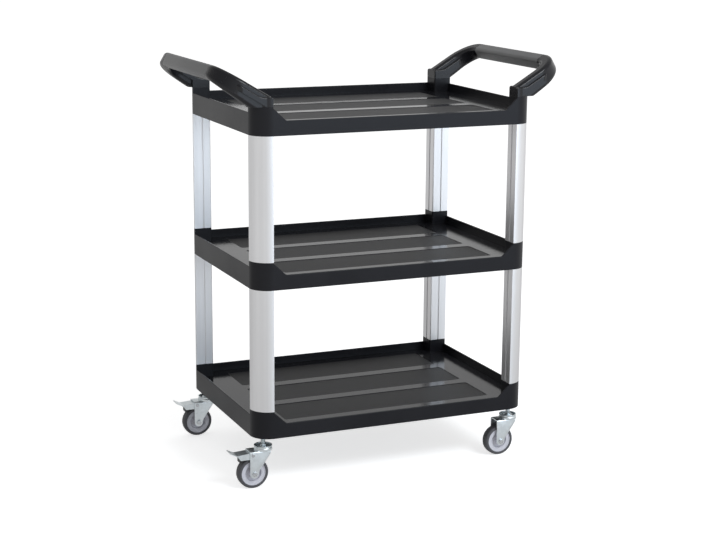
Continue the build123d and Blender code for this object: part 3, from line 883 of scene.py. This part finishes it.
@dataclass(frozen=True)
class Axle(CasterPart):
    """The bolt that holds the wheel in the fork, and its nut."""

    shank: float = 3.0 * MM
    shank_steps: int = 32
    thread_root: float = 2.5 * MM
    hexagon: float = 5.77 * MM
    head_height: float = 4.0 * MM

    def build(self) -> list[Piece]:
        """Makes the bolt and the nut."""
        return [self.make_bolt(), self.make_nut()]

    def make_bolt(self) -> Piece:
        """Makes the axle bolt with its chamfered hexagon head.

        Returns:
            The piece.
        """
        bolt = self.extent("axle_bolt")
        face = bolt.low.y
        seat = face + self.head_height
        end = bolt.high.y
        axis = Vector((bolt.middle.x, 0.0, bolt.middle.z))
        head = (
            (0.0, face, 0.0),
            (self.hexagon, face, self.chamfer),
            (self.hexagon, seat, 0.0),
            (0.0, seat, 0.0),
        )
        shank = (
            (0.0, seat, 0.0),
            (self.shank, seat, 0.0),
            (self.shank, end, self.chamfer),
            (0.0, end, 0.0),
        )
        blank = self.blank("hex_bolt")
        blank.turn(head, axis, ACROSS, HEXAGON)
        blank.turn(shank, axis, ACROSS, self.shank_steps)
        return blank.deliver(self.materials, self.named("fork"), Slot.FASTENER, self.named("axle_bolt"))

    def make_nut(self) -> Piece:
        """Makes the nut with its chamfered corners.

        Returns:
            The piece.
        """
        nut = self.extent("axle_nut")
        half = nut.half.y
        section = (
            (self.thread_root, -half, 0.0),
            (self.hexagon, -half, 0.0),
            (self.hexagon, half, self.chamfer),
            (self.thread_root, half, 0.0),
        )
        blank = self.blank("hex_nut")
        blank.turn(section, nut.middle, ACROSS, HEXAGON)
        return blank.deliver(self.materials, self.named("fork"), Slot.FASTENER, self.named("axle_nut"))


@dataclass(frozen=True)
class Swivel(CasterPart):
    """The threaded stem and the ring of balls that the fork turns on."""

    rivet: float = 8.0 * MM
    rivet_height: float = 3.0 * MM
    rivet_round: float = 1.6 * MM
    flange: float = 11.0 * MM
    flange_height: float = 3.5 * MM
    flange_round: float = 0.4 * MM
    wrench_hexagon: float = 7.5 * MM
    wrench_height: float = 4.5 * MM
    stem_steps: int = 64
    thread_depth: float = 0.75 * MM
    thread_pitch: float = 1.5 * MM
    thread_steps: int = 32
    ball: float = 1.45 * MM
    ball_count: int = 18
    ball_segments: int = 16
    ball_rings: int = 10
    cage_steps: int = 48

    def build(self) -> list[Piece]:
        """Makes the stem and the ball ring."""
        return [self.make_stem(), self.make_ball_ring()]

    def make_stem(self) -> Piece:
        """Makes the stem: a rivet head, a flange with a wrench hexagon on it and a threaded shank.

        Returns:
            The piece.
        """
        stem = self.extent("caster_stem")
        axis = Vector((stem.middle.x, stem.middle.y, 0.0))
        foot = stem.low.z
        neck = foot + self.rivet_height
        flange_low = self.extent("swivel_bearing").high.z + FREE_GAP
        flange_top = flange_low + self.flange_height
        wrench_top = flange_top + self.wrench_height
        spool = (
            (0.0, foot, 0.0),
            (self.rivet, foot, self.rivet_round),
            (self.rivet, neck, self.edge_round),
            (self.stem, neck, 0.0),
            (self.stem, flange_low, 0.0),
            (self.flange, flange_low, self.flange_round),
            (self.flange, flange_top, self.chamfer),
            (0.0, flange_top, 0.0),
        )
        wrench = (
            (0.0, flange_top, 0.0),
            (self.wrench_hexagon, flange_top, 0.0),
            (self.wrench_hexagon, wrench_top, self.chamfer),
            (0.0, wrench_top, 0.0),
        )
        blank = self.blank("threaded_stem")
        blank.turn(spool, axis, UPRIGHT, self.stem_steps)
        blank.turn(wrench, axis, UPRIGHT, HEXAGON)
        blank.thread(
            axis + UPRIGHT * wrench_top, self.stem, self.thread_depth, self.thread_pitch,
            stem.high.z - wrench_top, self.thread_steps,
        )
        return blank.deliver(self.materials, "base", Slot.ZINC, self.named("caster_stem"))

    def make_ball_ring(self) -> Piece:
        """Makes the ring of balls that the fork swivels on, and the cage inside it.

        Returns:
            The piece.
        """
        ring = self.extent("swivel_bearing")
        bore = self.stem + FREE_GAP
        reach = ring.half.x - self.ball
        cage = reach - self.ball
        section = (
            (bore, -ring.half.z, 0.0),
            (cage, -ring.half.z, self.edge_round),
            (cage, ring.half.z, self.edge_round),
            (bore, ring.half.z, 0.0),
        )
        blank = self.blank("ball_ring")
        blank.turn(section, ring.middle, UPRIGHT, self.cage_steps)
        for count in range(self.ball_count):
            turn = Matrix.Rotation(math.tau * count / self.ball_count, 4, "Z")
            place = Matrix.Translation(ring.middle) @ turn @ Matrix.Translation(OUTWARD * reach)
            bmesh.ops.create_uvsphere(
                blank.bm, u_segments=self.ball_segments, v_segments=self.ball_rings, radius=self.ball,
                matrix=place,
            )
        return blank.deliver(self.materials, self.named("fork"), Slot.FASTENER, self.named("swivel_bearing"))


@dataclass(frozen=True)
class Fork(CasterPart):
    """The stamped fork with its cup and, on a braked caster, the pin that the pedal turns on."""

    half_width: float = 16.25 * MM
    sheet: float = 2.5 * MM
    bend: float = 3.5 * MM
    bend_segments: int = 6
    burr: float = 0.4 * MM
    burr_segments: int = 2
    leg_end: float = 10.0 * MM
    leg_straight: float = 4.5 * MM
    leg_blend: float = 14.0 * MM
    leg_segments: int = 8
    heel: float = 12.5 * MM
    heel_drop: float = 6.5 * MM
    heel_round: float = 2.0 * MM
    cup: float = 20.0 * MM
    cup_waist: float = 18.8 * MM
    cup_height: float = 9.0 * MM
    cup_steps: int = 72
    bulge: float = 3.5 * MM
    roll: float = 2.2 * MM
    pin: float = 2.5 * MM
    pin_head: float = 4.0 * MM
    pin_head_height: float = 1.2 * MM
    pin_dome: float = 1.1 * MM
    pin_steps: int = 40

    def build(self) -> list[Piece]:
        """Makes the fork, and the brake's pin where there is one."""
        pieces = [self.make_fork()]
        return [*pieces, self.make_brake_pin()] if self.corner.braked else pieces

    def make_fork(self) -> Piece:
        """Makes the stamped fork: one sheet bent down into two legs, and a cup with a rolled lip on it.

        Returns:
            The piece.
        """
        stem = self.extent("caster_stem").middle
        crown = self.extent("swivel_bearing").low.z
        blank = self.blank("stamped_fork")
        self.cut_leg(blank, stem, crown)
        self.bend_legs(blank)
        self.turn_cup(blank, Vector((stem.x, stem.y, crown)))
        return blank.deliver(self.materials, self.named("fork"), Slot.ZINC, self.named("caster_fork"))

    def cut_leg(self, blank: Blank, stem: Vector, crown: float) -> None:
        """Adds the outline of one leg as a flat face, with its corners rounded.

        Args:
            blank: Mesh of the fork.
            stem: Middle of the stem.
            crown: Height of the crown's upper face.
        """
        axle = self.extent("axle_bolt").middle
        end = self.leg_end
        outline = (
            (axle.x - end, axle.z - end, end),
            (axle.x + end, axle.z - end, end),
            (axle.x + end, axle.z + self.leg_straight, self.leg_blend),
            (stem.x + self.heel, crown - self.heel_drop, self.heel_round),
            (stem.x + self.heel, crown, 0.0),
            (axle.x - end, crown, 0.0),
        )
        bm = blank.bm
        corners = [bm.verts.new((x, stem.y - self.half_width, z)) for x, z, _ in outline]
        bm.faces.new(corners)
        for corner, (_, _, size) in zip(corners, outline):
            if size:
                blank.soften([corner], size * NEARLY, self.leg_segments, Rounding.CORNERS)
        bmesh.ops.remove_doubles(bm, verts=bm.verts[:], dist=self.burr / 2)

    def bend_legs(self, blank: Blank) -> None:
        """Makes the leg's face into one sheet over two legs: open ends, round bends and dulled edges.

        Args:
            blank: Mesh of the fork.
        """
        bm = blank.bm
        drawn = bmesh.ops.extrude_face_region(bm, geom=bm.faces[:])
        moved = [part for part in drawn["geom"] if isinstance(part, bmesh.types.BMVert)]
        bmesh.ops.translate(bm, verts=moved, vec=ACROSS * 2 * self.half_width)
        bmesh.ops.recalc_face_normals(bm, faces=bm.faces[:])
        open_sides = [face for face in bm.faces if max(abs(face.normal.y), face.normal.z) < NEARLY]
        bmesh.ops.delete(bm, geom=open_sides, context="FACES")
        bends = [edge for edge in bm.edges if len(edge.link_faces) == 2]
        blank.soften(bends, self.bend, self.bend_segments)
        bmesh.ops.recalc_face_normals(bm, faces=bm.faces[:])
        bmesh.ops.solidify(bm, geom=bm.faces[:], thickness=self.sheet)
        sharp = [edge for edge in bm.edges if edge.calc_face_angle(0.0) > CREASE]
        blank.soften(sharp, self.burr, self.burr_segments)

    def turn_cup(self, blank: Blank, centre: Vector) -> None:
        """Adds the fork's cup, which bulges at its foot and rolls out at its lip.

        Args:
            blank: Mesh of the fork.
            centre: Middle of the crown's upper face.
        """
        bore = self.stem + FREE_GAP
        inside = self.cup - self.sheet
        foot = self.burr - self.sheet
        floor = self.burr / 4
        top = self.cup_height
        section = (
            (bore, foot, 0.0),
            (self.cup, foot, self.roll / 2),
            (self.cup, self.bulge, self.roll / 2),
            (self.cup_waist, self.bulge + self.roll / 2, self.burr),
            (self.cup_waist, top - self.roll, self.burr),
            (self.cup, top - self.roll / 2, self.burr),
            (self.cup, top, self.roll / 3),
            (inside, top, self.roll / 3),
            (inside, floor, self.roll / 3),
            (bore, floor, 0.0),
        )
        blank.turn(section, centre, UPRIGHT, self.cup_steps)

    def make_brake_pin(self) -> Piece:
        """Makes the pedal's pin with its domed heads.

        Returns:
            The piece.
        """
        pin = self.extent("brake_pin")
        face = pin.half.y
        seat = face - self.pin_head_height
        side = (
            (0.0, face, 0.0),
            (self.pin_head, face, self.pin_dome),
            (self.pin_head, seat, 0.0),
            (self.pin, seat, 0.0),
        )
        blank = self.blank("domed_pin")
        blank.turn(both_sides(side), pin.middle, ACROSS, self.pin_steps)
        return blank.deliver(self.materials, self.named("fork"), Slot.FASTENER, self.named("brake_pin"))


@dataclass(frozen=True)
class Caster:
    """One swivel caster: a wheel on its axle, a swivel on its stem and the fork between them."""

    corner: Corner
    materials: Materials

    def build(self) -> list[Piece]:
        """Makes the pieces of the caster's sub-assemblies."""
        parts = [part(self.corner, self.materials) for part in (Wheel, Axle, Swivel, Fork)]
        return [piece for part in parts for piece in part.build()]


@dataclass(frozen=True)
class Grip:
    """Soft sleeve round the bar of one handle, with rounded ends."""

    side: Side
    materials: Materials
    slope: float = math.radians(31.0)
    width: float = 28.0 * MM
    depth: float = 30.0 * MM
    corner: float = 8.0 * MM
    corner_segments: int = 10
    wall: float = 3.4 * MM
    end_round: float = 1.2 * MM
    end_segments: int = 4

    def build(self) -> list[Piece]:
        """Makes the sleeve from a box: open ends, round corners, an even wall and soft ends.

        Returns:
            The sleeve alone.
        """
        node = f"{self.side.label}_grip"
        grip = Extent(node)
        reach = grip.half.y
        blank = Blank(f"{self.side.label}_soft_grip")
        bm = blank.bm
        size = Matrix.Diagonal((self.width, 2 * reach, self.depth, 1.0))
        bmesh.ops.create_cube(bm, size=1.0, matrix=size)
        ends = [face for face in bm.faces if abs(face.normal.y) > NEARLY]
        bmesh.ops.delete(bm, geom=ends, context="FACES_ONLY")
        long_edges = [edge for edge in bm.edges if abs((edge.verts[0].co - edge.verts[1].co).y) > reach]
        blank.soften(long_edges, self.corner, self.corner_segments)
        bmesh.ops.recalc_face_normals(bm, faces=bm.faces[:])
        bmesh.ops.solidify(bm, geom=bm.faces[:], thickness=self.wall)
        rims = [edge for edge in bm.edges if self.on_rim(edge, reach)]
        blank.soften(rims, self.end_round, self.end_segments)
        lean = Matrix.Rotation(-self.side.value * self.slope, 4, "Y")
        bmesh.ops.transform(bm, matrix=Matrix.Translation(grip.middle) @ lean, verts=bm.verts[:])
        return [blank.deliver(self.materials, "base", Slot.GRIP, node)]

    def on_rim(self, edge: bmesh.types.BMEdge, reach: float) -> bool:
        """Tells whether an edge goes round the outside of one of the sleeve's ends.

        Args:
            edge: Edge of the sleeve, before it is put in place.
            reach: Half the sleeve's length.

        Returns:
            True for an edge of the outer rim.
        """
        inner_width = (self.width - self.wall) / 2
        inner_depth = (self.depth - self.wall) / 2
        for vert in edge.verts:
            inside = abs(vert.co.x) < inner_width and abs(vert.co.z) < inner_depth
            if abs(abs(vert.co.y) - reach) > WELD or inside:
                return False
        return True


@dataclass(frozen=True)
class SoftLamp:
    """A soft rectangular lamp that faces the trolley."""

    name: str
    place: Triple
    size: Span
    level: float
    colour: Colour

    def build(self, aim: Vector) -> None:
        """Makes the lamp.

        Args:
            aim: Point that it faces.
        """
        data = bpy.data.lights.new(self.name, "AREA")
        data.shape = "RECTANGLE"
        data.size, data.size_y = self.size
        data.energy = self.level * math.pi * self.size[0] * self.size[1]
        data.color = self.colour
        place = Vector(self.place)
        facing = (place - aim).to_track_quat("Z", "Y").to_matrix().to_4x4()
        lamp = bpy.data.objects.new(self.name, data)
        lamp.matrix_world = Matrix.Translation(place) @ facing
        lamp.visible_camera = False
        bpy.context.scene.collection.objects.link(lamp)


LAMPS = (
    SoftLamp(
        "soft_box", place=(1.0, -2.4, 2.6), size=(1.8, 1.0), level=8.0, colour=(0.92, 0.96, 1.0),
    ),
    SoftLamp(
        "standing_panel", place=(1.75, -4.1, 0.95), size=(3.2, 1.9), level=1.6, colour=(0.66, 0.82, 1.0),
    ),
)


@dataclass(frozen=True)
class Studio:
    """White floor, soft light and the camera."""

    floor_size: float = 60.0
    floor_colour: Colour = (0.93, 0.93, 0.93)
    floor_white: float = 0.65
    # Painted reflection: the floor's own glow in mirrored light, dim near the trolley and bright far off,
    # with painted shade behind it.
    painted_reflection_near: float = 0.58
    painted_reflection_far: float = 0.92
    near: float = 0.8
    far: float = 4.0
    painted_shade_behind: float = 0.8
    horizon: float = 0.9
    overhead: float = 0.48
    sky_span: Span = (0.15, 0.55)
    left_share: float = 0.68
    left_span: Span = (-0.6, 0.35)
    sensor: float = 36.0
    lens: float = 81.77
    azimuth: float = -23.3665
    elevation: float = 12.5345
    distance: float = 3.7332
    aim_height: float = 0.4149
    aim_side: float = 0.0053
    roll: float = 0.4589

    def build(self) -> None:
        """Makes the floor, the surround, the lamps and the camera."""
        self.make_floor()
        self.make_world()
        for lamp in LAMPS:
            lamp.build(UPRIGHT * self.aim_height)
        self.make_camera()
        bpy.context.scene.view_settings.view_transform = "Standard"

    def make_floor(self) -> None:
        """Makes a wide pale floor."""
        mesh = bpy.data.meshes.new("floor")
        bm = bmesh.new()
        bmesh.ops.create_grid(bm, x_segments=1, y_segments=1, size=self.floor_size / 2)
        bm.to_mesh(mesh)
        bm.free()
        mesh.materials.append(self.floor_material())
        floor = bpy.data.objects.new("floor", mesh)
        bpy.context.scene.collection.objects.link(floor)

    def floor_material(self) -> bpy.types.Material:
        """Makes the floor's material: white to the camera apart from shadows, and in mirrored light a
        painted reflection, a glow of its own with painted shade near and behind the trolley.

        Returns:
            The material.
        """
        material = bpy.data.materials.new("pale_floor")
        material.use_nodes = True
        graph = Graph(material.node_tree)
        path = graph.add("LightPath").outputs
        pale = graph.add("BsdfDiffuse", {"Color": (*self.floor_colour, 1.0)})
        lift = graph.math("MULTIPLY", self.seen_straight(graph, path), self.floor_white)
        white = graph.add("Emission", {"Color": WHITE, "Strength": lift})
        plain = graph.add("AddShader", {0: pale.outputs[0], 1: white.outputs[0]})
        # Painted reflection: mirrors see this glow instead of the lit floor.
        painted_reflection = graph.add("Emission", {"Color": WHITE, "Strength": self.painted_reflection_level(graph)})
        choice = {0: path["Is Glossy Ray"], 1: plain.outputs[0], 2: painted_reflection.outputs[0]}
        graph.add("OutputMaterial", {"Surface": graph.add("MixShader", choice).outputs[0]})
        return material

    @staticmethod
    def seen_straight(graph: Graph, path: bpy.types.NodeOutputs) -> Socket:
        """Adds a mask of the rays that come straight from the camera or through glass."""
        return graph.math("MAXIMUM", path["Is Camera Ray"], path["Is Transmission Ray"])

    def painted_reflection_level(self, graph: Graph) -> Socket:
        """Adds the floor's painted reflection, a glow seen only in mirrored light: painted shade dims it
        near the trolley and behind it, and it is bright far off.

        Args:
            graph: The floor's graph.

        Returns:
            The glow's socket.
        """
        place = graph.place()
        reach = graph.add("VectorMath", {0: place}, operation="LENGTH").outputs["Value"]
        level = graph.remap(reach, (self.near, self.far), (self.painted_reflection_near, self.painted_reflection_far))
        # Painted shade behind the trolley in the floor's painted reflection.
        behind = graph.remap(graph.axes(place)["Y"], (0.0, self.near), (1.0, self.painted_shade_behind))
        return graph.math("MULTIPLY", level, behind)

    def make_world(self) -> None:
        """Makes a soft white surround: bright at the horizon, dimmer overhead and towards the left."""
        world = bpy.data.worlds.new("soft_surround")
        world.use_nodes = True
        bpy.context.scene.world = world
        graph = Graph(world.node_tree)
        way = graph.axes(graph.add("TexCoord").outputs["Generated"])
        height = graph.remap(way["Z"], self.sky_span, (self.horizon, self.overhead))
        aside = graph.remap(way["X"], self.left_span, (self.left_share, 1.0))
        level = graph.math("MULTIPLY", height, aside)
        seen = self.seen_straight(graph, graph.add("LightPath").outputs)
        background = graph.add("Background", {"Color": WHITE, "Strength": graph.mix(seen, level, 1.0)})
        graph.add("OutputWorld", {"Surface": background.outputs[0]})

    def make_camera(self) -> None:
        """Places the camera where the photograph was taken from."""
        turn, lift, roll = (math.radians(angle) for angle in (self.azimuth, self.elevation, self.roll))
        back = Vector((math.sin(turn) * math.cos(lift), -math.cos(turn) * math.cos(lift), math.sin(lift)))
        level = (-back).cross(UPRIGHT).normalized()
        upright = level.cross(-back)
        right = level * math.cos(roll) + upright * math.sin(roll)
        up = upright * math.cos(roll) - level * math.sin(roll)
        data = bpy.data.cameras.new("camera")
        data.sensor_width = self.sensor
        data.lens = self.lens
        camera = bpy.data.objects.new("camera", data)
        place = UPRIGHT * self.aim_height + right * self.aim_side + back * self.distance
        camera.matrix_world = Matrix.Translation(place) @ Matrix((right, up, back)).transposed().to_4x4()
        bpy.context.scene.collection.objects.link(camera)
        bpy.context.scene.camera = camera


def report(pieces: Iterable[Piece]) -> None:
    """Logs each piece with its finish and its number of faces."""
    for piece in pieces:
        LOG.info("%s: %s, %d faces", piece.name, piece.active_material.name, len(piece.data.polygons))


def main() -> None:
    """Builds the trolley's looks in order and reports each piece."""
    logging.basicConfig(level=logging.INFO, format="%(name)s: %(message)s")
    materials = Materials()
    report(materials.dress_frame())
    for corner in Corner:
        report(Caster(corner, materials).build())
    for side in Side:
        report(Grip(side, materials).build())
    Studio().build()


if __name__ == "__main__":
    main()
